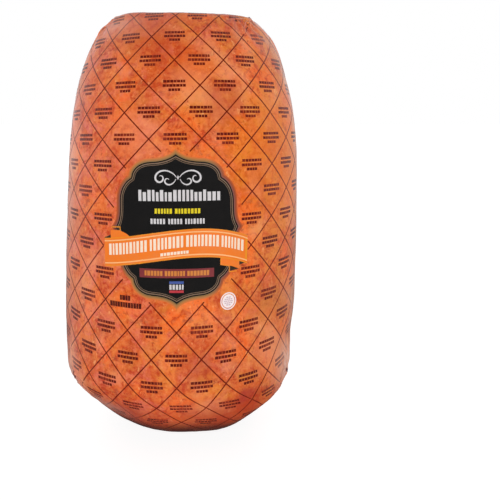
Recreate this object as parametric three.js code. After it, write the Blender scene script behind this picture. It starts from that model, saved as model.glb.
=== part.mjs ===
// A whole boneless ham, pressed to shape and shut in a tight printed film, standing on one end.
// The film is full and clings all over, so ham and film are one solid with no hidden inside.
// Units are millimetres, +Z is up, and the origin is the middle of the base.

import * as THREE from 'three';

// Driving dimensions.
const HAM_LENGTH = 310; // from the base to the flat top end
const HALF_WIDTH = 90; // side to side, at the widest height
const HALF_DEPTH = 82.8; // front to back, at the widest height
const WIDEST_HEIGHT = 54; // the ham settles, so its fullest part is low down
const SECTION_POWER = 2.05; // 2 is an ellipse, more is squarer

// Each end: how wide its flat is against the widest section, and how the side curves into it.
const TOP_END = { flat: 0.592, power: 5.31, root: 1.317 };
const BASE_END = { flat: 0.42, power: 1.45, root: 1.25 };

// The ham isn't straight. These shifts run evenly or as a bow from the base to the top end.
const DEPTH_TAPER = 0.35; // depth lost from base to top, as a part of the depth
const LEAN_BACK = 18.6;
const LEAN_RIGHT = 7.2;
const BOW_LEFT = 6.1;

// The film's end seal is folded flat across the top.
const SEAL_HEIGHT = 2.5;
const SEAL_HALF_WIDTH = 6;

// Soft swellings (rise above 0) and hollows (below 0) that the press and the film's folds leave.
// angle: degrees round from the front, towards +X. height: above the base.
// across and along: how far each reaches round the ham and up it.
const RELIEFS = [
  { name: 'top right corner', angle: 80, height: 307, across: 19.5, along: 7, rise: -2.0 },
  { name: 'top left corner', angle: -78, height: 309, across: 18.5, along: 6, rise: -2.0 },
  { name: 'top front rim', angle: -42, height: 309, across: 26, along: 10, rise: 1.4 },
  { name: 'base right ear', angle: 78, height: 42, across: 9, along: 6, rise: 2.6 },
  { name: 'base right shoulder', angle: 65, height: 33, across: 34, along: 9, rise: 5.1 },
  { name: 'base right swelling', angle: 44, height: 20, across: 36, along: 25, rise: 7.1 },
  { name: 'base left ear', angle: -68, height: 37, across: 13, along: 8, rise: 1.6 },
  { name: 'right shoulder hollow', angle: 84, height: 264, across: 16, along: 10, rise: -1.3 },
  { name: 'right hip hollow', angle: 76, height: 64, across: 30, along: 17, rise: -3.0 },
  { name: 'left hip hollow', angle: -80, height: 56, across: 22, along: 9, rise: -0.9 },
  { name: 'left hip swelling', angle: -82, height: 104, across: 40, along: 42, rise: 1.3 },
  { name: 'left base hollow', angle: -38, height: 23, across: 26, along: 14, rise: -2.2 },
  { name: 'front base swelling', angle: 6, height: 9, across: 30, along: 9, rise: 1.4 },
];

// How finely the surface is divided.
const COLUMNS = 90;
const SIDE_ROWS = 44;
const BASE_RINGS = 2;
const TOP_RINGS = 3;
const END_CROWDING = 0.8; // 0 spaces the rows evenly, 1 crowds them into both ends

const FULL_TURN = 2 * Math.PI;

function signedPower(value, power) {
  return Math.sign(value) * Math.abs(value) ** power;
}

// The radius of the section at a height, as a part of the widest one.
function girthAt(height) {
  const above = height > WIDEST_HEIGHT;
  const end = above ? TOP_END : BASE_END;
  const reach = above ? HAM_LENGTH - WIDEST_HEIGHT : WIDEST_HEIGHT;
  const along = Math.min(Math.abs(height - WIDEST_HEIGHT) / reach, 1);
  return end.flat + (1 - end.flat) * (1 - along ** end.power) ** (1 / end.root);
}

// The middle of the section at a height, and the depth of the section against its width.
function spineAt(height) {
  const fromMiddle = height / HAM_LENGTH - 0.5;
  return {
    x: LEAN_RIGHT * fromMiddle - BOW_LEFT * fromMiddle ** 2,
    y: LEAN_BACK * fromMiddle,
    depthScale: 1 - DEPTH_TAPER * fromMiddle,
  };
}

// A point of the smooth ham: an angle round from the front, a height and a share of the full girth.
function smoothPoint(angle, height, girth) {
  const spine = spineAt(height);
  const across = HALF_WIDTH * signedPower(Math.sin(angle), 2 / SECTION_POWER);
  const deep = HALF_DEPTH * signedPower(Math.cos(angle), 2 / SECTION_POWER);
  return new THREE.Vector3(spine.x + across * girth, spine.y - deep * girth * spine.depthScale, height);
}

// The direction in which a swelling moves the surface: straight away from the nearest spine point.
function outwardAt(point) {
  const low = HALF_DEPTH;
  const high = HAM_LENGTH - HALF_DEPTH;
  const spineHeight = THREE.MathUtils.clamp(point.z, low, high);
  const spine = spineAt(spineHeight);
  return point.clone().sub(new THREE.Vector3(spine.x, spine.y, spineHeight)).normalize();
}

// How far all the swellings and hollows together move a point.
function reliefAt(angle, point) {
  let rise = 0;
  for (const relief of RELIEFS) {
    const turn = angle - THREE.MathUtils.degToRad(relief.angle);
    const nearest = turn - FULL_TURN * Math.round(turn / FULL_TURN);
    const sideways = (nearest * HALF_WIDTH) / relief.across;
    const upwards = (point.z - relief.height) / relief.along;
    rise += relief.rise * Math.exp(-(sideways ** 2) - upwards ** 2);
  }
  return rise;
}

function sidePoint(angle, height) {
  const point = smoothPoint(angle, height, girthAt(height));
  point.addScaledVector(outwardAt(point), reliefAt(angle, point));
  return point.setZ(Math.max(point.z, 0));
}

// A flat end is rings inside the last row of the side, and the top one carries the seal.
function endPoint(angle, height, share) {
  const rim = sidePoint(angle, height);
  const spine = spineAt(height);
  const middle = new THREE.Vector3(spine.x, spine.y, height);
  return middle.lerp(rim, share);
}

function raiseSeal(point) {
  const aside = Math.abs(point.y - spineAt(HAM_LENGTH).y) / SEAL_HALF_WIDTH;
  point.z += SEAL_HEIGHT * Math.max(0, 1 - aside);
  return point;
}

function rowHeight(row) {
  const share = row / SIDE_ROWS;
  const crowded = 0.5 - 0.5 * Math.cos(Math.PI * share);
  return HAM_LENGTH * THREE.MathUtils.lerp(share, crowded, END_CROWDING);
}

function ringOf(pointAt) {
  return Array.from({ length: COLUMNS }, (unused, column) => pointAt((FULL_TURN * column) / COLUMNS));
}

// All the rings from the base to the top end.
function hamRings() {
  const rings = [];
  for (let ring = 1; ring <= BASE_RINGS; ring += 1) {
    const share = ring / (BASE_RINGS + 1);
    rings.push(ringOf((angle) => endPoint(angle, 0, share).setZ(0)));
  }
  for (let row = 0; row <= SIDE_ROWS; row += 1) {
    rings.push(ringOf((angle) => sidePoint(angle, rowHeight(row))));
  }
  rings[BASE_RINGS].forEach((point) => point.setZ(0));
  for (let ring = TOP_RINGS; ring >= 1; ring -= 1) {
    const share = ring / (TOP_RINGS + 1);
    rings.push(ringOf((angle) => raiseSeal(endPoint(angle, HAM_LENGTH, share))));
  }
  return rings;
}

// One closed surface: a fan at each pole and bands of paired triangles between the rings.
function closedSurface(rings, basePole, topPole) {
  const points = [...rings.flat(), basePole, topPole];
  const base = rings.length * COLUMNS;
  const top = base + 1;
  const lastRing = (rings.length - 1) * COLUMNS;
  const triangles = [];
  for (let column = 0; column < COLUMNS; column += 1) {
    const next = (column + 1) % COLUMNS;
    triangles.push(base, next, column);
    triangles.push(top, lastRing + column, lastRing + next);
    for (let ring = 0; ring < rings.length - 1; ring += 1) {
      const low = ring * COLUMNS;
      const high = low + COLUMNS;
      triangles.push(low + column, low + next, high + next);
      triangles.push(low + column, high + next, high + column);
    }
  }
  const geometry = new THREE.BufferGeometry();
  geometry.setAttribute('position', new THREE.Float32BufferAttribute(points.flatMap((p) => p.toArray()), 3));
  geometry.setIndex(triangles);
  return geometry;
}

// The origin is under the middle of the ham's box, so the lean is shared out on both sides of it.
function standOnOrigin(geometry) {
  geometry.computeBoundingBox();
  const middle = geometry.boundingBox.getCenter(new THREE.Vector3());
  geometry.translate(-middle.x, -middle.y, -geometry.boundingBox.min.z);
  geometry.computeVertexNormals();
  return geometry;
}

function wrappedHam() {
  const basePole = smoothPoint(0, 0, 0);
  const topPole = raiseSeal(smoothPoint(0, HAM_LENGTH, 0));
  const geometry = standOnOrigin(closedSurface(hamRings(), basePole, topPole));
  const film = new THREE.MeshStandardMaterial({ color: 0xd76738, roughness: 0.32, metalness: 0 });
  const ham = new THREE.Mesh(geometry, film);
  ham.name = 'wrapped_ham';
  return ham;
}

const model = new THREE.Group();
model.name = 'wrapped_whole_ham';
model.add(wrappedHam());

export default model;
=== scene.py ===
"""A whole deli ham in its printed film, standing on end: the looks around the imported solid."""

import math

import bpy
import numpy as np
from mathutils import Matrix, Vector, noise
from mathutils.bvhtree import BVHTree
from mathutils.geometry import interpolate_bezier


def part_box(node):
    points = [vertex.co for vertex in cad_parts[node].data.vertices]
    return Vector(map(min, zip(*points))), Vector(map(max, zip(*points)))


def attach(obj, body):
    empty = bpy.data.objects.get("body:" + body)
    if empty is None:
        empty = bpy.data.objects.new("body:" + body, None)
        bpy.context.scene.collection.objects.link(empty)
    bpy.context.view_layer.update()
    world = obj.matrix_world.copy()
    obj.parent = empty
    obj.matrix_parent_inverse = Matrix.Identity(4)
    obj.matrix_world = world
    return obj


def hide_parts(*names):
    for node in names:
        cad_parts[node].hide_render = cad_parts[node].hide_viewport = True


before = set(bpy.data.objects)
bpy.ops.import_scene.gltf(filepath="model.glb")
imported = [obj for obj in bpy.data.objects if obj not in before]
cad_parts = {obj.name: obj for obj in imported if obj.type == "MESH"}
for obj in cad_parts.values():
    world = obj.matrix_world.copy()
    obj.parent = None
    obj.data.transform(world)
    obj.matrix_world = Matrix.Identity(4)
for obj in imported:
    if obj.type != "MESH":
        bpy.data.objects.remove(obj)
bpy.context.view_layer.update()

MM = 0.001
ham_low, ham_high = (Vector(corner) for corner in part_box("wrapped_ham"))
TALL = ham_high.z - ham_low.z

# ----------------------------------------------
# The ham in its film.
# Cooked ham, smoked outside to an uneven orange brown, in a clear film shrunk tight over it.
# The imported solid's own surface is divided finer, then gets its lumps and gathered pleats.

PAIRING = math.radians(60)
FINER = 2
LUMPS = ((34 * MM, 0.55 * MM), (12 * MM, 0.14 * MM))
END_FADE = 8 * MM
PLEAT_SWAY = 6
PLEAT_HUB = 7
INK_ROOM = 0.12 * MM
SOFT_EDGE = 0.6 * MM
FILM_ROUGHNESS = 0.2

# Where the film is gathered: degrees round from the front towards +X, height, reach, how many
# pleats run out from there, and how high they stand. Lengths are in millimetres.
GATHERS = (
    (70, 309, 20, 11, 0.75),
    (-88, 309, 20, 11, 0.7),
    (76, 43, 22, 13, 0.8),
    (-68, 38, 20, 12, 0.7),
    (104, 43, 16, 10, 0.5),
    (-106, 40, 16, 10, 0.5),
)
# Where it stands a little off the ham and gets a painted pale sheen: turn, height, reach round,
# reach up and how loose it is.
LOOSE_AND_SHEEN = (
    (84, 288, 13, 15, 0.25),
    (-60, 300, 18, 7, 0.3),
    (72, 50, 21, 21, 1.0),
    (79, 86, 17, 30, 0.55),
    (-65, 49, 17, 25, 0.9),
    (-78, 120, 15, 80, 0.4),
    (-48, 26, 24, 9, 0.45),
    (170, 30, 50, 16, 0.3),
)


def pick(*objects):
    bpy.ops.object.select_all(action="DESELECT")
    for each in objects:
        each.select_set(True)
    bpy.context.view_layer.objects.active = objects[0]


def open_whole(piece):
    """Opens a piece in edit mode with all of it selected."""
    pick(piece)
    bpy.ops.object.mode_set(mode="EDIT")
    bpy.ops.mesh.select_all(action="SELECT")


def close_edit():
    bpy.ops.object.mode_set(mode="OBJECT")


def finish_with(piece, kind, **settings):
    """Adds a modifier to a piece and applies it."""
    modifier = piece.modifiers.new(kind.lower(), kind)
    for name, value in settings.items():
        setattr(modifier, name, value)
    pick(piece)
    bpy.ops.object.modifier_apply(modifier=modifier.name)


def new_object(name, data):
    made = bpy.data.objects.new(name, data)
    bpy.context.collection.objects.link(made)
    return made


def vertex_values(mesh, what):
    values = np.empty(len(mesh.vertices) * 3)
    mesh.vertices.foreach_get(what, values)
    return values.reshape(-1, 3)


def place_vertices(mesh, places):
    mesh.vertices.foreach_set("co", np.asarray(places, dtype=float).ravel())
    mesh.update()


film = new_object("printed_film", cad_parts["wrapped_ham"].data.copy())
film.data.materials.clear()
open_whole(film)
bpy.ops.mesh.remove_doubles(threshold=0.01 * MM)
bpy.ops.mesh.tris_convert_to_quads(face_threshold=PAIRING, shape_threshold=PAIRING)
close_edit()
finish_with(film, "SUBSURF", levels=FINER, render_levels=FINER)


def lumpiness(place):
    return sum(rise * noise.noise(Vector(place) / size) for size, rise in LUMPS)


def offsets_from(places, turn, height):
    """How far places lie round the ham and up it from one of its places, in millimetres."""
    turns = np.arctan2(places[:, 0], -places[:, 1]) - math.radians(turn)
    turns -= 2 * math.pi * np.round(turns / (2 * math.pi))
    return turns * np.linalg.norm(places[:, :2], axis=1) / MM, places[:, 2] / MM - height


def pleats(places):
    """Fans of soft pleats that run out from each gather and die away."""
    total = np.zeros(len(places))
    for turn, height, reach, count, rise in GATHERS:
        round_it, up = offsets_from(places, turn, height)
        away = np.hypot(round_it, up)
        fan = np.cos(count * np.arctan2(up, round_it) + 1.5 * np.sin(away / PLEAT_SWAY))
        total += rise * fan * np.exp(-((away / reach) ** 2)) * np.clip(away / PLEAT_HUB, 0, 1)
    return total * MM


def looseness_and_sheen(places):
    """How far the film stands off the ham at each place, from 0 to 1, which also sets its painted pale
    sheen.
    """
    total = np.zeros(len(places))
    for turn, height, reach, reach_up, share in LOOSE_AND_SHEEN:
        round_it, up = offsets_from(places, turn, height)
        total = np.maximum(total, share * np.exp(-((round_it / reach) ** 2) - (up / reach_up) ** 2))
    return total


def store_looseness_and_sheen(mesh, shares):
    """Stores how loose the film is at each vertex, for the materials to read as creases and as a
    painted pale sheen.
    """
    loose = mesh.attributes.new("loose_film_and_sheen", "FLOAT", "POINT")
    loose.data.foreach_set("value", shares)


places = vertex_values(film.data, "co")
rises = np.array([lumpiness(place) for place in places]) + pleats(places)
rises *= np.clip(places[:, 2] / END_FADE, 0, 1) * np.clip((TALL - places[:, 2]) / END_FADE, 0, 1)
places += vertex_values(film.data, "normal") * rises[:, None]
limits = np.array([ham_high.x, ham_high.y]) - INK_ROOM
over = np.clip(np.abs(places[:, :2]) - (limits - SOFT_EDGE), 0, None)
places[:, :2] -= np.sign(places[:, :2]) * (over - SOFT_EDGE * (1 - np.exp(-over / SOFT_EDGE)))
place_vertices(film.data, places)
store_looseness_and_sheen(film.data, looseness_and_sheen(places))
pick(film)
bpy.ops.object.shade_smooth()


class Wire:
    """One value inside a material. Sums on it add Math nodes, and node adds any other kind."""

    def __init__(self, tree, socket=None):
        self.tree = tree
        self.socket = socket

    def node(self, kind, inputs, output=0, stops=(), **settings):
        made = self.tree.nodes.new("ShaderNode" + kind)
        for name, value in settings.items():
            setattr(made, name, value)
        for index, (place, colour) in enumerate(stops):
            stop = made.color_ramp.elements[index] if index < 2 else made.color_ramp.elements.new(place)
            stop.position = place
            stop.color = colour
        for name, value in inputs.items():
            if isinstance(value, Wire):
                self.tree.links.new(value.socket, made.inputs[name])
            else:
                made.inputs[name].default_value = value
        return Wire(self.tree, made.outputs[output] if made.outputs else None)

    def maths(self, operation, first, second):
        return self.node("Math", {0: first, 1: second}, operation=operation)

    def __add__(self, other):
        return self.maths("ADD", self, other)

    def __sub__(self, other):
        return self.maths("SUBTRACT", self, other)

    def __rsub__(self, other):
        return self.maths("SUBTRACT", other, self)

    def __mul__(self, other):
        return self.maths("MULTIPLY", self, other)

    __radd__ = __add__
    __rmul__ = __mul__

    def rising(self, low, high):
        """0 below low, 1 above high, and a soft step between."""
        limits = {"Value": self, "From Min": low, "From Max": high}
        return self.node("MapRange", limits, interpolation_type="SMOOTHSTEP")

    def blend(self, first, second):
        """The first colour where this value is 0 and the second where it is 1."""
        colours = {0: self, 6: first, 7: second}
        return self.node("Mix", colours, output=2, data_type="RGBA")

    def part(self, number):
        """The x, y or z of this place, by its number."""
        return self.node("SeparateXYZ", {0: self}, output=number)

    def stretched(self, x, y, z):
        """This place with its axes scaled."""
        return self.node("VectorMath", {0: self, 1: (x, y, z)}, operation="MULTIPLY")

    def stirred(self, reach):
        """This place moved about unevenly, so that a shape read from it gets a ragged edge."""
        inputs = {"Vector": self, "Scale": 0.5 / reach, "Detail": 4.0}
        drift = self.node("TexNoise", inputs, output=1)
        middle = (0.5, 0.5, 0.5)
        centred = self.node("VectorMath", {0: drift, 1: middle}, operation="SUBTRACT")
        moved = centred.stretched(4 * reach, 4 * reach, 4 * reach)
        return self.node("VectorMath", {0: self, 1: moved})

    def cloud(self, size, detail=3.0, roughness=0.5, warp=0.0):
        """Uneven noise about 0.5, with features of about one size in metres."""
        inputs = {
            "Vector": self,
            "Scale": 1 / size,
            "Detail": detail,
            "Roughness": roughness,
            "Distortion": warp,
        }
        return self.node("TexNoise", inputs)


def srgb(red, green, blue):
    """A colour from its usual 0 to 255 values."""
    levels = [level / 255 for level in (red, green, blue)]
    return (*[((v + 0.055) / 1.055) ** 2.4 if v > 0.04045 else v / 12.92 for v in levels], 1.0)


def new_material(name):
    """An empty material, and the place of each point of its piece."""
    material = bpy.data.materials.new(name)
    material.use_nodes = True
    material.node_tree.nodes.clear()
    start = Wire(material.node_tree)
    place = start.node("TexCoord", {}, output=3)
    return material, place


def finish_surface(place, finish):
    shader = place.node("BsdfPrincipled", finish)
    place.node("OutputMaterial", {"Surface": shader})


def film_gloss(place, colour, roughness):
    """The clear film's finish over any colour: smooth, with faint ripples, and a painted pale sheen
    where it is loose.

    It also darkens low down, where the ham turns under and stands in its own shade.
    """
    ripples = place.stretched(1, 1, 0.4).cloud(9 * MM, detail=3)
    lines = place.stretched(1, 1, 0.1).cloud(2.4 * MM, detail=2)
    loose = place.node("Attribute", {}, output=2, attribute_name="loose_film_and_sheen")
    creases = place.stretched(1, 1, 0.3).cloud(3.2 * MM, detail=2)
    height = ripples * 0.85 + lines * 0.15 + creases * loose * 1.1
    # Painted sheen: where the film is loose its colour is painted paler, as its reflection makes it
    # look.
    painted_sheen = loose * (place.stretched(1, 1, 0.3).cloud(5 * MM, detail=3).rising(0.2, 0.75) * 0.6 + 0.4)
    colour = painted_sheen.blend(colour, srgb(246, 200, 182))
    shade = place.part(2).rising(24 * MM, 8 * MM) * 0.85
    colour = shade.blend(colour, srgb(58, 18, 11))
    relief = place.node("Bump", {"Height": height, "Strength": 0.35, "Distance": 0.8 * MM})
    finish_surface(place, {"Base Color": colour, "Roughness": roughness, "Normal": relief})


# The fine layers of the smoked skin: how the pattern is stretched, its size in millimetres, its
# detail, roughness and warp, where it begins and is full, how strong it is, and its colour.
SKIN_LAYERS = (
    ("vivid orange", (1, 1, 0.7), 24, 4, 0.5, 0.5, 0.50, 0.66, 0.65, (250, 100, 28)),
    ("ochre", (0.8, 1, 1), 21, 5, 0.6, 0, 0.54, 0.70, 0.5, (214, 120, 46)),
    ("red blotches", (1, 1, 1), 9, 5, 0.68, 1.2, 0.51, 0.62, 0.75, (188, 46, 18)),
    ("bruises", (1, 1, 1.6), 17, 6, 0.68, 0, 0.58, 0.68, 0.65, (140, 42, 42)),
    # The haze layer is a painted sheen: soft pale reflections of the film, not the ham's colour.
    ("painted sheen haze", (0.7, 1, 0.8), 30, 5, 0.6, 0, 0.50, 0.70, 0.45, (252, 168, 124)),
    ("grain", (1, 1, 1), 2.6, 3, 0.6, 0, 0.35, 0.7, 0.36, (250, 152, 84)),
    ("pale flecks", (1, 1, 0.65), 3.4, 3, 0.6, 0, 0.60, 0.76, 0.55, (255, 184, 116)),
    ("dark specks", (1, 1, 1), 3.2, 4, 0.65, 0, 0.58, 0.72, 0.6, (168, 36, 24)),
)
# The larger patches of the smoked skin, seen from the front: x and height of the middle in
# millimetres, reach, how strong, and the colour.
PATCHES = (
    (52, 34, 20, 0.75, (176, 50, 22)),
    (34, 20, 20, 0.65, (178, 60, 30)),
    (-36, 16, 26, 0.6, (166, 66, 46)),
    (-58, 24, 18, 0.5, (170, 72, 54)),
    (16, 66, 17, 0.4, (186, 74, 40)),
    (14, 30, 15, 0.4, (190, 66, 34)),
    (36, 246, 20, 0.45, (190, 66, 34)),
    (-20, 300, 34, 0.5, (188, 66, 32)),
    (2, 276, 28, 0.35, (200, 70, 30)),
    (-27, 226, 28, 0.45, (242, 128, 82)),
    (18, 267, 18, 0.45, (240, 120, 54)),
    (72, 104, 26, 0.4, (188, 112, 64)),
    (80, 205, 62, 0.5, (236, 122, 24)),
    (52, 40, 9, 0.3, (150, 40, 60)),
    (20, 42, 10, 0.35, (236, 150, 84)),
    (74, 66, 22, 0.5, (240, 142, 94)),
    (-84, 110, 26, 0.3, (230, 150, 106)),
    (-84, 170, 26, 0.3, (230, 150, 106)),
)


def smoked_skin():
    """Orange smoked ham under film: patches, red blotches, brown bruises, grain and flecks."""
    material, place = new_material("smoked_ham_under_film")
    patches = place.stretched(1, 1, 0.8).cloud(26 * MM, detail=6, roughness=0.62, warp=0.8)
    stops = (
        (0.28, srgb(172, 50, 22)),
        (0.76, srgb(246, 148, 78)),
        (0.40, srgb(202, 72, 30)),
        (0.50, srgb(222, 95, 40)),
        (0.61, srgb(236, 118, 50)),
    )
    colour = place.node("ValToRGB", {"Fac": patches}, stops=stops)
    hues = place.cloud(15 * MM, detail=5, roughness=0.6, warp=0.7)
    yellow = (hues + place.part(0) * 1.6).rising(0.50, 0.72) * 0.7
    colour = yellow.blend(colour, srgb(228, 136, 46))
    pink = (hues + place.part(0) * 1.2).rising(0.50, 0.30) * 0.8
    colour = pink.blend(colour, srgb(228, 112, 92))
    for _, stretch, size, detail, roughness, warp, low, high, share, shade in SKIN_LAYERS:
        layer = place.stretched(*stretch).cloud(size * MM, detail, roughness, warp)
        colour = (layer.rising(low, high) * share).blend(colour, srgb(*shade))
    front = place.stretched(1, 0, 1)
    for across, up, reach, share, shade in PATCHES:
        aims = {0: front.stirred(7 * MM), 1: (across * MM, 0, up * MM)}
        away = place.node("VectorMath", aims, output=1, operation="DISTANCE")
        inside = away.rising(reach * MM, 0.25 * reach * MM)
        colour = (inside * share).blend(colour, srgb(*shade))
    # Darker and redder low down: partly the ham's own deeper colour there, partly painted shade.
    low_down = place.part(2).rising(60 * MM, 8 * MM) * 0.7
    colour = low_down.blend(colour, srgb(164, 50, 24))
    film_gloss(place, colour, FILM_ROUGHNESS)
    return material


film.data.materials.append(smoked_skin())
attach(film, "root")
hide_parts("wrapped_ham")

# ----------------------------------------------
# The way the film wraps.
# The film is a flat printed tube drawn over the ham, so its rows run round the ham and its
# columns up it. Level slices through the ham give each place on the film its place in space.

AROUND = 360
UPRIGHT = 150
END_CLEARANCE = 0.6 * MM
TOP_CLEARANCE = 3.6 * MM
FLAT_RINGS = (0.08, 0.3, 0.5, 0.7, 0.85)
SIDE_STEPS = 240
INK_SINK = 0.06 * MM
LOWEST_INK = 1.0 * MM

skin = BVHTree.FromObject(film, bpy.context.evaluated_depsgraph_get())
turns = np.radians(np.linspace(-180, 180, AROUND + 1))
outwards = np.stack([np.sin(turns), -np.cos(turns), np.zeros_like(turns)], axis=1)


def slice_at(height, middle):
    """The points where rays from a middle meet the film, all round at one height."""
    start = Vector((middle[0], middle[1], height))
    return np.array([skin.ray_cast(start, Vector(way))[0] for way in outwards])


def middle_of(rim):
    return (rim.min(axis=0) + rim.max(axis=0)) / 2


def centred_slice(height):
    return slice_at(height, middle_of(slice_at(height, (0, 0))))


def inner_rings(rim):
    return [middle_of(rim) + (rim - middle_of(rim)) * share for share in FLAT_RINGS]


spread = 0.5 - 0.5 * np.cos(np.linspace(0, math.pi, UPRIGHT))
heights = END_CLEARANCE + (TALL - TOP_CLEARANCE - END_CLEARANCE) * spread
slices = [centred_slice(height) for height in heights]
rows = np.array(inner_rings(slices[0]) + slices + inner_rings(slices[-1])[::-1])
front = rows[:, AROUND // 2]
steps_up = np.linalg.norm(np.diff(front, axis=0), axis=1)
climb = np.linalg.norm(front[0] - middle_of(rows[0])) + np.concatenate([[0], np.cumsum(steps_up)])
row_numbers = np.arange(len(rows))


class Panel:
    """Half of the film, from one side of the ham over its middle line to the other side."""

    def __init__(self, first_turn):
        ring = np.roll(rows[:, :-1], AROUND // 2 - first_turn, axis=1)
        ring = np.concatenate([ring, ring[:, :1]], axis=1)
        middle = AROUND // 2
        quarter = AROUND // 4
        sides = np.linspace(-1, 1, SIDE_STEPS + 1)
        self.table = np.empty((len(rows), SIDE_STEPS + 1, 3))
        self.reach = np.empty((len(rows), 2))
        for number, rim in enumerate(ring):
            lengths = np.concatenate([[0], np.cumsum(np.linalg.norm(np.diff(rim, axis=0), axis=1))])
            lengths -= lengths[middle]
            self.reach[number] = -lengths[middle - quarter], lengths[middle + quarter]
            along = sides * np.where(sides < 0, self.reach[number, 0], self.reach[number, 1])
            columns = [np.interp(along, lengths, rim[:, axis]) for axis in range(3)]
            self.table[number] = np.stack(columns, axis=1)


# The print's own sizes on the flat film, and how the film is drawn over this ham. By the height,
# TWIST shifts the print sideways, PINCH narrows it, SMILE bows its rows and SKEW tilts them.
COLUMN = 18.1 * MM
ROW = 18.3 * MM
COLUMNS_ROUND = 30
DRAWN_ROW = 18.9 * MM
PLAQUE_ROW = 8.22
TOP_ROW_CLIMB = 380.6 * MM
TOP_TIGHTER = 0.027 * MM
MIDDLE_ROW = 8
COLUMN_SHIFT = -0.154
TWIST = 0.584
PINCH = (1.0, 0.178, -0.347, -1.358)
SMILE = (0.122, -1.006)
SKEW = 0.045

panels = (Panel(180), Panel(0))


def lay(flat, panel_number):
    """Where flat places come to lie on the film, and which of them are on the panel.

    Flat places are measured from the plaque's middle, x to the right and y up.
    """
    panel = panels[panel_number]
    column = flat[:, 0] / COLUMN - panel_number * COLUMNS_ROUND / 2
    row = PLAQUE_ROW - flat[:, 1] / ROW
    up = TOP_ROW_CLIMB - row * DRAWN_ROW - TOP_TIGHTER * (row - MIDDLE_ROW) ** 2
    share = np.interp(up, climb, front[:, 2]) / TALL - 0.5
    across = (column - COLUMN_SHIFT - TWIST * share) * COLUMN
    up = up + SKEW * share * across + (SMILE[0] + SMILE[1] * share) * across**2
    drawn = sum(part * share**power for power, part in enumerate(PINCH))
    position = np.interp(up, climb, row_numbers)
    reach = np.where(
        across < 0,
        np.interp(position, row_numbers, panel.reach[:, 0]),
        np.interp(position, row_numbers, panel.reach[:, 1]),
    )
    half_film = COLUMN * COLUMNS_ROUND / 4
    side = across / half_film
    slack = half_film * drawn / reach
    side = np.where(slack < 1, side * slack + (1 - slack) * side**3, side * slack)
    low = np.clip(position.astype(int), 0, len(rows) - 2)
    left = np.clip(((side + 1) / 2 * SIDE_STEPS).astype(int), 0, SIDE_STEPS - 1)
    rise = np.clip(position - low, 0, 1)[:, None]
    turn = np.clip((side + 1) / 2 * SIDE_STEPS - left, 0, 1)[:, None]
    below = panel.table[low, left] * (1 - turn) + panel.table[low, left + 1] * turn
    above = panel.table[low + 1, left] * (1 - turn) + panel.table[low + 1, left + 1] * turn
    places = below * (1 - rise) + above * rise
    inside = (np.abs(side) <= 1) & (up < climb[-1]) & (places[:, 2] > LOWEST_INK)
    return places, inside


def delete_vertices(piece, unwanted):
    """Deletes the vertices that a list of true and false values picks out."""
    open_whole(piece)
    bpy.ops.mesh.select_mode(type="VERT")
    bpy.ops.mesh.select_all(action="DESELECT")
    close_edit()
    piece.data.vertices.foreach_set("select", unwanted)
    bpy.ops.object.mode_set(mode="EDIT")
    bpy.ops.mesh.delete(type="VERT")
    close_edit()


def raised(places, lifts):
    """The places moved onto the film and then straight off it, each by its lift."""
    nearest = [skin.find_nearest(Vector(place)) for place in places]
    return np.array([near[0] + near[1] * lift for near, lift in zip(nearest, lifts)])


def lay_ink(ink, lift, panel_number):
    """Moves a flat ink mesh to a lift above the film, and drops what falls off the panel."""
    flat = vertex_values(ink.data, "co")
    places, inside = lay(flat[:, :2], panel_number)
    places = raised(places, np.full(len(places), lift))
    place_vertices(ink.data, places)
    store_looseness_and_sheen(ink.data, looseness_and_sheen(places))
    delete_vertices(ink, ~inside)


# ----------------------------------------------
# The plaque.
# A black field with two fine tan lines and a soft tan border, printed on the front of the film.
# One flat outline is inset band by band, cut into small faces and laid on the film.

MIDDLE = Vector((0.2 * MM, -0.7 * MM, 0))
PLAQUE_QUARTER = (
    ((0, 53.4), (2.4, 49.4), (8.5, 47.1), (17, 46.8)),
    ((17, 46.8), (26, 46.6), (32.2, 41.6), (33.2, 35.2)),
    ((33.2, 35.2), (38.2, 32.3), (42.0, 26.0), (42.3, 18.3)),
    ((42.3, 18.3), (42.4, 10.2), (42.0, 4), (47.6, 0)),
)
CURVE_POINTS = 10
INK_STEP = 2.5 * MM
CUT_SHIFT = 0.013
FIRST_LIFT = 0.08 * MM
INK_LAYER = 0.04 * MM
INK_CORNER = math.radians(40)
INK_ROUGHNESS = 0.24
SKIN_THROUGH_INK = (0.9, 0.5, 0.3, 1.0)


def flat_place(x, y):
    return Vector((x * MM, y * MM, 0))


def flat_line(corners):
    return [flat_place(*corner) for corner in corners]


def curved_line(pieces):
    """The points along a chain of curves, each its two ends with two handles between them."""
    line = []
    for piece in pieces:
        line.extend(interpolate_bezier(*flat_line(piece), CURVE_POINTS)[:-1])
    return line


def inset_line(line, inset):
    """A line moved sideways, to its right as it runs. Its end points and corners keep their mitres."""
    points = np.array([point.to_2d() for point in line])
    ways = np.diff(points, axis=0)
    ways /= np.linalg.norm(ways, axis=1)[:, None]
    before = np.concatenate([ways[:1], ways])
    after = np.concatenate([ways, ways[-1:]])
    mitres = before + after
    mitres /= (1 + (before * after).sum(axis=1))[:, None]
    return points + inset * np.stack([mitres[:, 1], -mitres[:, 0]], axis=1)


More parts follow.
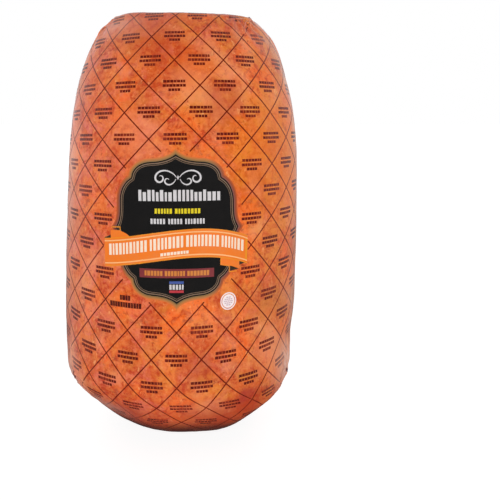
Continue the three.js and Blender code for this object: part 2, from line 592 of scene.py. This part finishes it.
def plaque_half(inset):
    """The right half of the plaque's outline, from its top point down to its bottom point."""
    quarter = curved_line(PLAQUE_QUARTER) + flat_line(PLAQUE_QUARTER[-1][-1:])
    moved = inset_line(quarter, inset)
    kept = moved[(moved[:, 0] > 0) & (moved[:, 1] > 0)]
    slopes = (kept[1] - kept[0], kept[-1] - kept[-2])
    tip = (0.0, kept[0, 1] - kept[0, 0] * slopes[0][1] / slopes[0][0])
    side = (kept[-1, 0] - kept[-1, 1] * slopes[1][0] / slopes[1][1], 0.0)
    upper = [tip, *map(tuple, kept), side]
    return upper + [(x, -y) for x, y in upper[-2::-1]]


def plaque_shape(inset=0.0):
    """The whole outline of the plaque, drawn in by an inset."""
    half = plaque_half(inset)
    points = half + [(-x, y) for x, y in half[-2:0:-1]]
    return [Vector((x, y, 0)) + MIDDLE for x, y in points]


def plaque_band(outer, inner):
    """The band between two insets of the plaque, as a right and a left half."""
    loop = plaque_half(outer) + plaque_half(inner)[::-1]
    return [[Vector((x * side, y, 0)) + MIDDLE for x, y in loop] for side in (1, -1)]


def facing_out(outline):
    """An outline with its points in the order that faces away from the ham."""
    area = sum(a.x * b.y - b.x * a.y for a, b in zip(outline, outline[1:] + outline[:1]))
    return outline if area > 0 else outline[::-1]


def flat_inks(name, shapes):
    """A flat piece from pairs of a material and an outline, with a slot for each material."""
    shapes = [(material, facing_out(outline)) for material, outline in shapes]
    materials = list(dict.fromkeys(material for material, _ in shapes))
    points = [point for _, outline in shapes for point in outline]
    faces = []
    for _, outline in shapes:
        start = sum(len(face) for face in faces)
        faces.append(list(range(start, start + len(outline))))
    mesh = bpy.data.meshes.new(name)
    mesh.from_pydata(points, [], faces)
    for material in materials:
        mesh.materials.append(material)
    for face, (material, _) in zip(mesh.polygons, shapes):
        face.material_index = materials.index(material)
    piece = new_object(name, mesh)
    open_whole(piece)
    bpy.ops.mesh.quads_convert_to_tris(ngon_method="CLIP")
    close_edit()
    return piece


def cut_up(piece):
    """Cuts a flat piece along an even grid, so that it can follow the ham's curves."""
    places = vertex_values(piece.data, "co")
    first_cuts = np.ceil(places.min(axis=0) / INK_STEP).astype(int)
    last_cuts = np.floor(places.max(axis=0) / INK_STEP).astype(int)
    open_whole(piece)
    for axis, normal in ((0, (1, 0, 0)), (1, (0, 1, 0))):
        for cut in range(first_cuts[axis], last_cuts[axis] + 1):
            bpy.ops.mesh.select_all(action="SELECT")
            place = [0.0, 0.0, 0.0]
            place[axis] = (cut + CUT_SHIFT) * INK_STEP
            bpy.ops.mesh.bisect(plane_co=place, plane_no=normal)
    close_edit()


def print_on_film(piece, layer, panel_number=0):
    """Lays a flat ink piece on the film in a layer counted from the film up, and closes it."""
    lift = FIRST_LIFT + layer * INK_LAYER
    lay_ink(piece, lift, panel_number)
    finish_with(piece, "SOLIDIFY", thickness=lift + INK_SINK, offset=-1.0)
    pick(piece)
    bpy.ops.object.shade_smooth_by_angle(angle=INK_CORNER)
    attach(piece, "root")


def inked(material, outlines):
    return [(material, outline) for outline in outlines]


def print_shapes(name, shapes, layer):
    """Prints coloured outlines on the film as one piece."""
    piece = flat_inks(name, shapes)
    cut_up(piece)
    print_on_film(piece, layer)


def ink_material(name, colour, worn_to=None, worn=0.3):
    """A printed ink, a little uneven, under the same gloss as the bare film."""
    material, place = new_material(name)
    if worn_to is None:
        worn_to = [ink * 0.75 + 0.25 * light for ink, light in zip(colour, SKIN_THROUGH_INK)]
    patches = place.cloud(9 * MM, detail=4, roughness=0.65).rising(0.4, 0.75) * worn
    film_gloss(place, patches.blend(colour, worn_to), INK_ROUGHNESS)
    return material


black_ink = ink_material("black_ink", srgb(24, 23, 23), srgb(38, 34, 32))
tan_ink = ink_material("tan_ink", srgb(132, 107, 86), srgb(148, 118, 98))


def border_material(name, tan, mauve):
    """The soft border: khaki tan above and below, mauve brown down the sides."""
    material, place = new_material(name)
    aside = place.node("Math", {0: place.part(0)}, operation="ABSOLUTE")
    sideways = aside.rising(24 * MM, 38 * MM)
    film_gloss(place, sideways.blend(tan, mauve), INK_ROUGHNESS)
    return material


# The ink and the width of each band, from the outline in.
bands = (
    (border_material("outer_border_ink", srgb(206, 118, 60), srgb(184, 86, 48)), 0.85),
    (border_material("middle_border_ink", srgb(176, 118, 66), srgb(148, 76, 52)), 0.85),
    (border_material("inner_border_ink", srgb(138, 108, 68), srgb(140, 84, 74)), 0.8),
    (black_ink, 0.87),
    (tan_ink, 0.66),
    (black_ink, 0.66),
    (tan_ink, 0.34),
)
plaque_shapes = []
inset = 0.0
for ink, width in bands:
    plaque_shapes += inked(ink, plaque_band(inset * MM, (inset + width) * MM))
    inset += width
plaque_shapes.append((black_ink, plaque_shape(inset * MM)))
print_shapes("plaque", plaque_shapes, 0)

# ----------------------------------------------
# The type on the plaque.
# Plain bars and blocks, and a mirrored pen scroll, stand where a label has its words. They are
# inks printed over the plaque's black, and each is cut from flat outlines as the plaque is.

random = np.random.default_rng(7)


def bar(left, right, low, high):
    return flat_line(((left, low), (right, low), (right, high), (left, high)))


def row_of_blocks(left, right, low, high, block, gap, uneven=0.0):
    """A row of upright blocks of uneven width with even gaps, some of them lower."""
    count = max(1, round((right - left + gap) / (block + gap)))
    widths = random.uniform(0.75, 1.25, count)
    widths *= (right - left - gap * (count - 1)) / widths.sum()
    edges = left + np.concatenate([[0], np.cumsum(widths + gap)[:-1]])
    tops = high - uneven * (high - low) * random.integers(0, 2, count)
    return [bar(edge, edge + width, low, top) for edge, width, top in zip(edges, widths, tops)]


SCROLL_PLACE = (1.6, 33.2)
OUTER_SCROLL = (
    ((1.0, 0.2), (4.4, 5.2), (11.2, 6.2), (14.4, 2.4)),
    ((14.4, 2.4), (17.2, -1.4), (12.8, -4.8), (10.4, -2.0)),
    ((10.4, -2.0), (8.9, 0.4), (11.6, 2.6), (12.8, 0.4)),
)
INNER_SCROLL = (
    ((1.4, -1.0), (3.0, -5.2), (7.4, -5.8), (8.8, -3.0)),
    ((8.8, -3.0), (9.4, -0.6), (6.2, 0.4), (5.8, -2.0)),
)
DIAMOND = ((0.0, 1.7), (0.7, 0.0), (0.0, -1.7))


def pen_line(pieces, half):
    """The outline of a pen stroke along a chain of curves, fine at both ends."""
    line = np.array([point.to_2d() for point in curved_line(pieces)])
    ways = np.gradient(line, axis=0)
    ways /= np.linalg.norm(ways, axis=1)[:, None]
    swell = half * MM * (0.15 + 0.85 * np.sin(np.linspace(0.1, 0.95, len(line)) * math.pi))
    sides = np.stack([-ways[:, 1], ways[:, 0]], axis=1) * swell[:, None]
    return np.concatenate([line + sides, (line - sides)[::-1]])


def scroll_ornament():
    """Two mirrored pen scrolls with a small diamond between them."""
    strokes = (pen_line(OUTER_SCROLL, 0.62), pen_line(INNER_SCROLL, 0.5), np.array(DIAMOND) * MM)
    middle = flat_place(*SCROLL_PLACE)
    return [
        [Vector((across * side, up, 0)) + middle for across, up in stroke]
        for side in (-1, 1)
        for stroke in strokes
    ]


white_ink = ink_material("white_ink", srgb(212, 208, 209), srgb(190, 182, 182))
yellow_ink = ink_material("yellow_ink", srgb(228, 206, 38), srgb(196, 168, 40))
maroon_ink = ink_material("maroon_ink", srgb(132, 54, 58), srgb(112, 44, 44))
gold_ink = ink_material("gold_ink", srgb(212, 132, 62), srgb(180, 100, 50))
blue_ink = ink_material("blue_ink", srgb(62, 88, 158))
red_ink = ink_material("red_ink", srgb(190, 56, 66))


def words(material, ends, *sizes):
    """A row of blocks between each pair of ends, in one ink."""
    return inked(material, [block for pair in ends for block in row_of_blocks(*pair, *sizes)])


type_shapes = [
    *words(white_ink, ((-25.6, 30.2),), 17.6, 25.0, 2.1, 0.95, 0.2),
    *words(yellow_ink, ((-14.4, -2.6), (-0.6, 16.5)), 9.4, 12.7, 1.5, 0.65),
    *words(white_ink, ((-17.4, -7.4), (-5.2, 4.2), (6.2, 19.4)), 2.5, 6.0, 1.4, 0.7),
    (maroon_ink, bar(-26.0, 26.3, -33.0, -27.1)),
    (blue_ink, bar(-4.9, 5.1, -36.9, -35.2)),
    *words(white_ink, ((-4.8, 5.0),), -40.7, -37.4, 1.5, 0.7),
    (red_ink, bar(-4.9, 5.1, -42.8, -41.2)),
]
print_shapes("plaque_type", type_shapes, 1)
print_shapes("plaque_scroll", inked(white_ink, scroll_ornament()), 1)

band_ends = ((-22.3, -9.6), (-8.0, 6.0), (7.6, 22.8))
print_shapes("band_type", words(gold_ink, band_ends, -31.7, -28.4, 1.7, 0.5), 2)

# ----------------------------------------------
# The ribbon.
# An orange banner waves across the plaque, with a fine pale line inside each edge. Its ends fold
# behind it, and short tails show past the folds. It is strips of ink along one waved line.

RIBBON_LEFT = -53.2
RIBBON_RIGHT = 51.0
RIBBON_HALF = 9.5
RIBBON_WAVE = (-11.05, 0.1, -0.0025, -3.4e-5)
RIBBON_STEP = 2.0


def ribbon_middle(x):
    return sum(part * x**power for power, part in enumerate(RIBBON_WAVE))


def along_ribbon(left, right, low, high):
    """A strip of the ribbon, between two heights off its middle line."""
    xs = np.linspace(left, right, max(2, math.ceil((right - left) / RIBBON_STEP) + 1))
    under = [flat_place(x, ribbon_middle(x) + low) for x in xs]
    over = [flat_place(x, ribbon_middle(x) + high) for x in xs[::-1]]
    return under + over


orange_ink = ink_material("orange_ink", srgb(244, 124, 36), srgb(236, 132, 66), 0.6)
edge_ink = ink_material("ribbon_edge_ink", srgb(238, 146, 34), srgb(226, 130, 40))
line_ink = ink_material("pale_line_ink", srgb(252, 190, 128), srgb(250, 168, 106))
cream_ink = ink_material("cream_ink", srgb(250, 226, 202), srgb(244, 206, 172))
fold_ink = ink_material("fold_shadow_ink", srgb(38, 34, 24))

left_curve = ((-33.0, -6.6), (-34.6, -4.3), (-38.6, -3.6), (-41.0, -2.7))
left_corners = ((-41.0, -2.7), (-47.8, -3.0), (-47.8, -9.4), (-33.0, -8.2))
left_tail = curved_line([left_curve]) + flat_line(left_corners)
right_start = ((31.0, -19.5), (31.0, -25.2))
right_curve = ((31.2, -25.4), (34.0, -26.4), (41.5, -26.6), (44.8, -29.3))
right_end = ((44.8, -29.3), (44.8, -21.5))
right_tail = flat_line(right_start) + curved_line([right_curve]) + flat_line(right_end)
fold_shadows = (
    ((-53.1, -8.4), (-47.8, -6.2), (-47.8, -9.2), (-53.1, -9.2)),
    ((-45.8, -2.0), (-40.4, -1.1), (-40.4, -2.5)),
    ((44.8, -23.0), (50.8, -25.4), (44.8, -26.7)),
    ((38.0, -26.5), (44.4, -29.2), (38.0, -30.1)),
)
tail_lines = (
    ((-47.2, -1.2), (-46.0, -0.5), (-39.7, -0.1), (-39.7, -3.2), (-40.3, -3.0), (-40.3, -0.8)),
    (
        *((30.7, -19.6), (31.4, -19.6), (31.4, -25.0), (37.6, -26.4), (37.6, -30.3)),
        *((43.2, -30.3), (43.0, -30.9), (37.1, -30.9), (37.1, -26.9), (30.7, -25.6)),
    ),
)
tail_shapes = [
    *inked(orange_ink, [left_tail, right_tail]),
    *inked(edge_ink, [flat_line(outline) for outline in tail_lines]),
    *inked(fold_ink, [flat_line(outline) for outline in fold_shadows]),
]
print_shapes("ribbon_tails", tail_shapes, 1)

# Each strip's ink, its two ends and its two edges, counted from the ribbon's top edge down.
left, right, inner = RIBBON_LEFT, RIBBON_RIGHT, RIBBON_RIGHT - 1.6
ribbon_strips = (
    (edge_ink, left, right, 0, 0.5),
    (orange_ink, left, right, 0.5, 1.6),
    (line_ink, left, right, 1.6, 2.4),
    (orange_ink, left, inner, 2.4, 16.6),
    (edge_ink, inner, right, 2.4, 16.6),
    (line_ink, left, right, 16.6, 17.4),
    (orange_ink, left, right, 17.4, 18.5),
    (edge_ink, left, right, 18.5, 19),
)
ribbon_shapes = [
    (ink, along_ribbon(start, end, RIBBON_HALF - bottom, RIBBON_HALF - top))
    for ink, start, end, top, bottom in ribbon_strips
]
print_shapes("ribbon", ribbon_shapes, 2)


def ribbon_blocks(left, right, low, high, block, gap):
    """A row of blocks that follows the ribbon's wave, between two heights off its middle."""
    for outline in row_of_blocks(left, right, 0, 1, block, gap):
        edges = [corner.x / MM for corner in outline]
        yield along_ribbon(min(edges), max(edges), low, high)


ribbon_type = []
for left, right in ((-49.4, -20.4), (-18.2, 4.8), (6.8, 29.4), (31.3, 47.8)):
    ribbon_type += ribbon_blocks(left, right, -2.1, 5.5, 1.65, 1.0)
ribbon_type += ribbon_blocks(-10.8, 8.5, -6.5, -4.5, 1.6, 0.5)
print_shapes("ribbon_type", inked(cream_ink, ribbon_type), 3)

# ----------------------------------------------
# The diamond net.
# Printed dark brown lines cross all round the ham, and stop just short of the plaque. One thin
# strip between two crossings is modelled and copied, and each panel's lines are one piece.

NET_LINE = 0.85 * MM
NET_CUTS = 13
NET_ROWS = range(-4, 22)
NET_COLUMNS = 20
NET_GAP = 1.8 * MM


def crossing(column, row):
    return Vector((column * COLUMN, (PLAQUE_ROW - row) * ROW, 0))


def net_segment():
    """One line of the net, as long as the way between two crossings."""
    bpy.ops.object.select_all(action="DESELECT")
    bpy.ops.mesh.primitive_grid_add(x_subdivisions=NET_CUTS, y_subdivisions=1, size=1)
    segment = bpy.context.object
    open_whole(segment)
    bpy.ops.transform.resize(value=(math.hypot(COLUMN, ROW), NET_LINE, 1))
    close_edit()
    return segment


def repeated(name, model, spots):
    """One flat piece of copies of a model, each at a spot's place and turn. It uses the model up."""
    base = vertex_values(model.data, "co")
    faces = [np.array(face.vertices) for face in model.data.polygons]
    places = []
    all_faces = []
    for number, (middle, turn) in enumerate(spots):
        spin = np.array([[math.cos(turn), -math.sin(turn)], [math.sin(turn), math.cos(turn)]])
        places.append(np.column_stack([base[:, :2] @ spin.T + middle.to_2d(), base[:, 2]]))
        all_faces.extend((face + number * len(base)).tolist() for face in faces)
    mesh = bpy.data.meshes.new(name)
    mesh.from_pydata(np.concatenate(places).tolist(), [], all_faces)
    for material in model.data.materials:
        mesh.materials.append(material)
    bpy.data.objects.remove(model)
    return new_object(name, mesh)


def net_spots(first_column):
    """The middle and turn of every net line of one panel."""
    slope = math.atan2(ROW, COLUMN)
    for row in NET_ROWS:
        for column in range(first_column, first_column + NET_COLUMNS):
            if (row + column) % 2 == 0:
                yield (crossing(column, row) + crossing(column + 1, row + 1)) / 2, -slope
                yield (crossing(column, row) + crossing(column + 1, row - 1)) / 2, slope


def distance_from(outline, points):
    """How far flat points are from a closed outline: below 0 inside it."""
    line = np.array([point.to_2d() for point in outline])
    ends = np.roll(line, -1, axis=0)
    ways = ends - line
    nearest = np.full(len(points), np.inf)
    inside = np.zeros(len(points), dtype=bool)
    for start, end, way in zip(line, ends, ways):
        share = np.clip((points - start) @ way / (way @ way), 0, 1)
        nearest = np.minimum(nearest, np.linalg.norm(points - start - share[:, None] * way, axis=1))
        crosses = (start[1] > points[:, 1]) != (end[1] > points[:, 1])
        line_x = start[0] + way[0] * (points[:, 1] - start[1]) / (way[1] or 1)
        inside ^= crosses & (points[:, 0] < line_x)
    return np.where(inside, -nearest, nearest)


ribbon_outline = along_ribbon(RIBBON_LEFT, RIBBON_RIGHT, -RIBBON_HALF, RIBBON_HALF)
net_ink = ink_material("net_ink", srgb(108, 22, 4), srgb(152, 54, 20), 0.6)
for number, name in enumerate(("front_net", "back_net")):
    first = (number * COLUMNS_ROUND - NET_COLUMNS) // 2
    net = repeated(name, net_segment(), net_spots(first))
    net.data.materials.append(net_ink)
    flat = vertex_values(net.data, "co")[:, :2]
    near_plaque = distance_from(plaque_shape(), flat) < NET_GAP
    near_ribbon = distance_from(ribbon_outline, flat) < 0
    delete_vertices(net, near_plaque | near_ribbon)
    print_on_film(net, 0, number)

# ----------------------------------------------
# The small marks.
# Three short rows of dark blocks, printed in the middle of every diamond but those by the plaque.
# One mark is modelled and copied, and a mark that doesn't fit whole on its panel is left out.

MARK_ROWS = ((15.6, 3.0), (16.3, 0.0), (8.3, -3.0))
MARK_HALF_HEIGHT = 0.92
MARK_REACH = (8.2 * MM, 3.6 * MM)
BARE_DIAMONDS = {
    (column * side, row)
    for column, row in ((1, 6), (0, 7), (2, 7), (1, 8), (0, 9), (2, 9), (1, 10), (0, 11), (2, 11))
    for side in (-1, 1)
}

mark_ink = ink_material("mark_ink", srgb(98, 24, 14), srgb(156, 56, 34), 0.8)


def mark_model():
    shapes = []
    for wide, height in MARK_ROWS:
        low, high = height - MARK_HALF_HEIGHT, height + MARK_HALF_HEIGHT
        shapes += inked(mark_ink, row_of_blocks(-wide / 2, wide / 2, low, high, 1.9, 0.32))
    return flat_inks("mark", shapes)


def whole_on_film(middle, panel_number):
    """Whether all of a mark at a flat place is on its panel."""
    corners = np.array(((-1, -1), (-1, 1), (1, -1), (1, 1))) * MARK_REACH
    _, inside = lay(corners + np.array(middle.to_2d()), panel_number)
    return inside.all()


for number, name in enumerate(("front_marks", "back_marks")):
    first = (number * COLUMNS_ROUND - NET_COLUMNS) // 2 + 1
    spots = [
        (crossing(column, row), 0.0)
        for row in NET_ROWS
        for column in range(first, first + NET_COLUMNS - 1)
        if (row + column) % 2 == 1 and (column, row) not in BARE_DIAMONDS
    ]
    spots = [spot for spot in spots if whole_on_film(spot[0], number)]
    marks = repeated(name, mark_model(), spots)
    print_on_film(marks, 0, number)

# ----------------------------------------------
# The round badge and the storage note.
# A white ring round a white disc with faint rows of blocks, and two dark rows of blocks, one over
# the other. Both are inks printed straight on the film, below the plaque.

BADGE_X = 37.2
BADGE_Y = -50.3
ARC_POINTS = 25
# Each row's height off the badge's middle, and how wide it is.
BADGE_ROWS = ((2.6, 3.2), (1.3, 5.6), (0.0, 6.4), (-1.3, 5.6), (-2.6, 3.2))
BADGE_ROW_HALF = 0.35


def badge_arc(radius, first, last):
    return [
        flat_place(BADGE_X + radius * math.cos(turn), BADGE_Y + radius * math.sin(turn))
        for turn in np.linspace(first, last, ARC_POINTS)
    ]


def badge_ring(radius, inner):
    """A ring round the badge's middle, in two halves."""
    halves = ((0, math.pi), (math.pi, 2 * math.pi))
    return [badge_arc(radius, *half) + badge_arc(inner, *half)[::-1] for half in halves]


badge_white = ink_material("badge_white_ink", srgb(250, 236, 236), srgb(240, 214, 210))
badge_grey = ink_material("badge_grey_ink", srgb(204, 176, 186), srgb(206, 174, 178))
badge_disc = badge_arc(4.6, 0, 2 * math.pi)[:-1]
print_shapes("round_badge", inked(badge_white, badge_ring(5.9, 5.1) + [badge_disc]), 0)
badge_bars = []
for rise, wide in BADGE_ROWS:
    low, high = BADGE_Y + rise - BADGE_ROW_HALF, BADGE_Y + rise + BADGE_ROW_HALF
    badge_bars += row_of_blocks(BADGE_X - wide / 2, BADGE_X + wide / 2, low, high, 1.1, 0.35)
badge_type = flat_inks("badge_type", inked(badge_grey, badge_bars))
print_on_film(badge_type, 1)

note_ink = ink_material("note_ink", srgb(84, 26, 16), srgb(116, 40, 22))
note_rows = words(note_ink, ((-41.6, -33.5),), -49.5, -46.1, 1.7, 0.35)
note_rows += words(note_ink, ((-50.0, -25.2),), -54.3, -50.8, 1.7, 0.35)
print_shapes("storage_note", note_rows, 0)

# ----------------------------------------------
# The sealed ends and the folds.
# The tube of film is welded straight across each end. The top weld lies flat over the end, and
# the spare film at its two ends and at the base is bunched in dark knots with creases that run
# out. A sharp crease runs down each side. All are strips laid on the film and made thick.

FOLD_CUTS = 26
FOLD_CUTS_ACROSS = 4
FOLD_SINK = 0.3 * MM
FOLD_EDGE = 0.03 * MM
CREST_SHEEN = 0.36
WELD_PLACES = ((-55, 7.0), (0, 9.6), (58, 8.4))
WELD_WIDTH = 8 * MM
WELD_LIFT = 0.1 * MM
WELD_THICK = 0.45 * MM
RIB = 1.6 * MM
RIB_RISE = 0.16 * MM
CREASE_CUTS = 150
CREASE_LOW = 50 * MM
CREASE_HIGH = 300 * MM
CREASE_WIDTH = 3.0 * MM
CREASE_RISE = 0.3 * MM
CREASE_WANDER = 1.6 * MM
CREASE_WAVE = 26 * MM


def curve_through(points, shares):
    """Places along a smooth curve through three points, at shares of its length from 0 to 1."""
    first, middle, last = (np.array(point, dtype=float) for point in points)
    shares = shares[:, None]
    return (
        first * (1 - shares) * (1 - 2 * shares)
        + middle * 4 * shares * (1 - shares)
        + last * shares * (2 * shares - 1)
    )


def raise_crest(strip, places, crest, rise):
    """Lays a flat strip on the film, stands its crest up by the rise, and closes it underneath."""
    places = np.clip(raised(places, FOLD_EDGE + rise * crest), ham_low, ham_high)
    place_vertices(strip.data, places)
    # The crest gets a painted pale sheen, a highlight painted along it.
    store_looseness_and_sheen(strip.data, np.maximum(looseness_and_sheen(places), CREST_SHEEN * crest))
    finish_with(strip, "SOLIDIFY", thickness=rise + FOLD_SINK, offset=-1.0)
    return strip


def flat_strip(cuts, cuts_across):
    """A grid for its vertices to be placed, and how far along and across it each one is."""
    bpy.ops.object.select_all(action="DESELECT")
    bpy.ops.mesh.primitive_grid_add(x_subdivisions=cuts, y_subdivisions=cuts_across, size=1)
    along, across, _ = vertex_values(bpy.context.object.data, "co").T
    return bpy.context.object, along, across


def fold(*numbers):
    """One crease: a strip drawn to a point at each end, that stands up along its middle."""
    points = np.reshape(numbers[:6], (3, 2))
    width, rise = numbers[6:]
    strip, along, across = flat_strip(FOLD_CUTS, FOLD_CUTS_ACROSS)
    line = curve_through(points, along + 0.5)
    ways = curve_through(points, along + 0.51) - curve_through(points, along + 0.49)
    ways /= np.linalg.norm(ways, axis=1)[:, None]
    taper = np.maximum(np.cos(math.pi * along), 0.02) ** 0.7
    sideways = np.stack([-ways[:, 1], ways[:, 0]], axis=1)
    flat = (line + sideways * (width * across * taper)[:, None]) * MM
    places, _ = lay(flat, 0)
    return raise_crest(strip, places, np.cos(math.pi * across) ** 1.4 * taper, rise * MM)


def side_crease(edge):
    """The sharp fold that the flat tube keeps down one side of the ham, between its two panels."""
    strip, along, across = flat_strip(CREASE_CUTS, FOLD_CUTS_ACROSS)
    side_line = panels[0].table[:, edge]
    heights = CREASE_LOW + (CREASE_HIGH - CREASE_LOW) * (along + 0.5)
    numbers = np.interp(heights, side_line[:, 2], row_numbers)
    columns = [np.interp(numbers, row_numbers, side_line[:, axis]) for axis in range(3)]
    rim = np.stack(columns, axis=1)
    wander = [noise.noise(Vector((edge, 0, z / CREASE_WAVE))) for z in rim[:, 2]]
    taper = np.clip((0.5 - np.abs(along)) * 5, 0.05, 1)
    outward = -np.sign(rim[:, 0])
    rim[:, 1] += np.array(wander) * CREASE_WANDER + CREASE_WIDTH * across * taper * outward
    return raise_crest(strip, rim, np.cos(math.pi * across) ** 1.4 * taper, CREASE_RISE)


def dark_knot():
    """Film bunched hard together, dark purple where its ink closes up, with painted shade from its
    folds.
    """
    material, place = new_material("bunched_film")
    knot_mottle = place.cloud(3 * MM, detail=4, roughness=0.6).rising(0.35, 0.7)
    colour = knot_mottle.blend(srgb(84, 40, 44), srgb(136, 82, 80))
    finish_surface(place, {"Base Color": colour, "Roughness": 0.3})
    return material


def bunch(name, strips, material):
    """Joins all the folds of one place in one piece."""
    pick(*strips)
    bpy.ops.object.join()
    piece = bpy.context.object
    piece.name = name
    piece.data.materials.append(material)
    pick(piece)
    bpy.ops.object.shade_smooth()
    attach(piece, "root")


# Each fold is three places on the flat film, x and y in turn, then a width and a rise.
FOLDS = {
    "top_right_folds": (
        (75, 153, 69, 151, 61, 152, 5.0, 0.8),
        (71, 155, 70, 150, 72, 143, 3.6, 0.7),
        (70, 152, 63, 145, 57, 134, 2.4, 0.45),
        (69, 152, 60, 150, 49, 149, 2.2, 0.4),
        (70, 151, 70, 142, 74, 131, 2.2, 0.4),
        (72, 151, 81, 145, 91, 138, 2.4, 0.45),
        (96, 141, 102, 134, 105, 124, 2.6, 0.4),
        (99, 137, 106, 130, 110, 118, 2.0, 0.3),
    ),
    "top_left_folds": (
        (-79, 149, -70, 154, -58, 157, 2.6, 0.4),
        (-83, 146, -72, 149, -60, 151, 2.2, 0.3),
        (-74, 155, -62, 158, -50, 160, 2.6, 0.4),
        (-92, 142, -84, 148, -78, 156, 3.2, 0.6),
        (-88, 138, -84, 128, -84, 118, 2.0, 0.25),
    ),
    "base_right_folds": (
        (113, -121, 108, -123, 104, -128, 4.6, 0.8),
        (108, -124, 99, -131, 86, -137, 2.6, 0.5),
        (106, -122, 95, -123, 82, -130, 2.2, 0.4),
        (104, -126, 93, -135, 80, -143, 2.4, 0.4),
        (92, -128, 83, -134, 72, -138, 1.8, 0.3),
        (97, -137, 90, -143, 79, -150, 2.2, 0.4),
        (108, -120, 104, -108, 95, -97, 2.2, 0.35),
        (112, -118, 113, -106, 110, -93, 2.4, 0.35),
    ),
    "base_left_folds": (
        (-101, -118, -97, -116, -93, -117, 4.4, 0.7),
        (-97, -117, -88, -122, -76, -128, 2.4, 0.4),
        (-98, -114, -98, -102, -103, -90, 2.2, 0.35),
        (-95, -114, -86, -117, -78, -115, 2.0, 0.3),
        (-98, -119, -93, -130, -84, -140, 2.4, 0.4),
    ),
}
KNOTS = {
    "top_right_knot": (
        (73, 154, 70, 152.5, 67, 151.5, 3.0, 1.0),
        (72, 152, 70, 151.5, 68, 152, 2.4, 0.8),
    ),
    "base_right_knot": (
        (109, -127, 107.5, -123, 107, -119, 3.0, 1.0),
        (110, -125, 108.5, -122, 107, -120, 2.4, 0.8),
    ),
    "base_left_knot": (
        (-99, -121, -97, -117, -96, -113, 3.0, 1.0),
        (-98, -120, -96.5, -117, -97, -114, 2.4, 0.8),
    ),
}

ham_skin = film.data.materials[0]
knot_film = dark_knot()
for name, folds in FOLDS.items():
    bunch(name, [fold(*each) for each in folds], ham_skin)
for name, folds in KNOTS.items():
    bunch(name, [fold(*each) for each in folds], knot_film)
bunch("side_creases", [side_crease(edge) for edge in (0, SIDE_STEPS)], ham_skin)


def welded_seal():
    """The flat ribbed weld that lies along the ridge of the top end, from side to side."""
    ribs_along = round((WELD_PLACES[-1][0] - WELD_PLACES[0][0]) * MM / RIB)
    weld, along, across = flat_strip(ribs_along * 4, 4)
    line = curve_through(WELD_PLACES, along + 0.5) * MM
    ribs = 0.5 + 0.5 * np.cos(2 * math.pi * line[:, 0] / RIB)
    width = WELD_WIDTH * np.clip((0.5 - np.abs(along)) * 8, 0.3, 1)
    places = np.column_stack([line[:, 0], line[:, 1] + width * across, np.full(len(along), 2 * TALL)])
    for index, place in enumerate(places):
        spot, _, _, _ = skin.ray_cast(Vector(place), Vector((0, 0, -1)))
        places[index] = spot + Vector((0, 0, WELD_LIFT + RIB_RISE * ribs[index]))
    place_vertices(weld.data, places)
    # A painted pale sheen over the weld, stronger on the rib tops.
    store_looseness_and_sheen(weld.data, 0.12 + 0.25 * ribs)
    finish_with(weld, "SOLIDIFY", thickness=WELD_THICK, offset=-1.0)
    return weld


bunch("top_weld", [welded_seal()], ham_skin)

# ----------------------------------------------
# The studio.
# A pale floor that glows up to white, two soft lamps in front, and a white world that the film
# reflects from the sides and above, but not from below. The camera stands a little above.

WHITE = (1, 1, 1, 1)
FLOOR_SIZE = 40.0
LAMP_SIZE = 1.0


def studio_floor():
    """A wide floor that the film doesn't reflect."""
    bpy.ops.object.select_all(action="DESELECT")
    bpy.ops.mesh.primitive_plane_add(size=FLOOR_SIZE)
    floor = bpy.context.object
    floor.name = "floor"
    material, place = new_material("pale_floor")
    glow = {"Emission Color": WHITE, "Emission Strength": 0.9}
    finish_surface(place, {"Base Color": srgb(120, 120, 120), "Roughness": 0.6, **glow})
    floor.data.materials.append(material)
    floor.visible_glossy = False


def soft_lamp(name, place, power):
    """A square lamp turned to the middle of the ham, that the film doesn't reflect."""
    light = bpy.data.lights.new(name, "AREA")
    light.size = LAMP_SIZE
    light.energy = power
    lamp = new_object(name, light)
    lamp.location = place
    way = Vector((0, 0, TALL / 2)) - Vector(place)
    lamp.rotation_euler = way.to_track_quat("-Z", "Y").to_euler()
    lamp.visible_glossy = False


studio_floor()
bpy.context.scene.view_settings.view_transform = "Standard"
world = bpy.data.worlds.new("studio")
bpy.context.scene.world = world
world.use_nodes = True
world.node_tree.nodes.clear()
around = Wire(world.node_tree).node("TexCoord", {}, output=0)
behind = around.part(1).rising(-0.75, 0.45)
right = around.part(0).rising(0.2, 0.9)
above = around.part(2).rising(-0.4, 0.1)
glow = behind * above * (0.72 - right * 0.10)
lit = around.node("Background", {"Color": WHITE, "Strength": glow + 0.05})
seen = around.node("Background", {"Color": WHITE, "Strength": 1.0})
to_camera = around.node("LightPath", {})
backdrop = around.node("MixShader", {0: to_camera, 1: lit, 2: seen})
around.node("OutputWorld", {"Surface": backdrop})

soft_lamp("left_fill", (-0.8, -1.8, 0.9), 14)
soft_lamp("right_fill", (0.9, -1.7, 0.6), 11)

CAMERA_PLACE = (0.1740 * TALL, -1.7350 * TALL, 0.7570 * TALL)
CAMERA_DOWN = math.radians(10.86)
lens = bpy.data.cameras.new("camera")
lens.lens = 50.0
lens.sensor_width = 36.0
camera = new_object("camera", lens)
camera.location = CAMERA_PLACE
camera.rotation_euler = (math.pi / 2 - CAMERA_DOWN, 0, 0)
bpy.context.scene.camera = camera
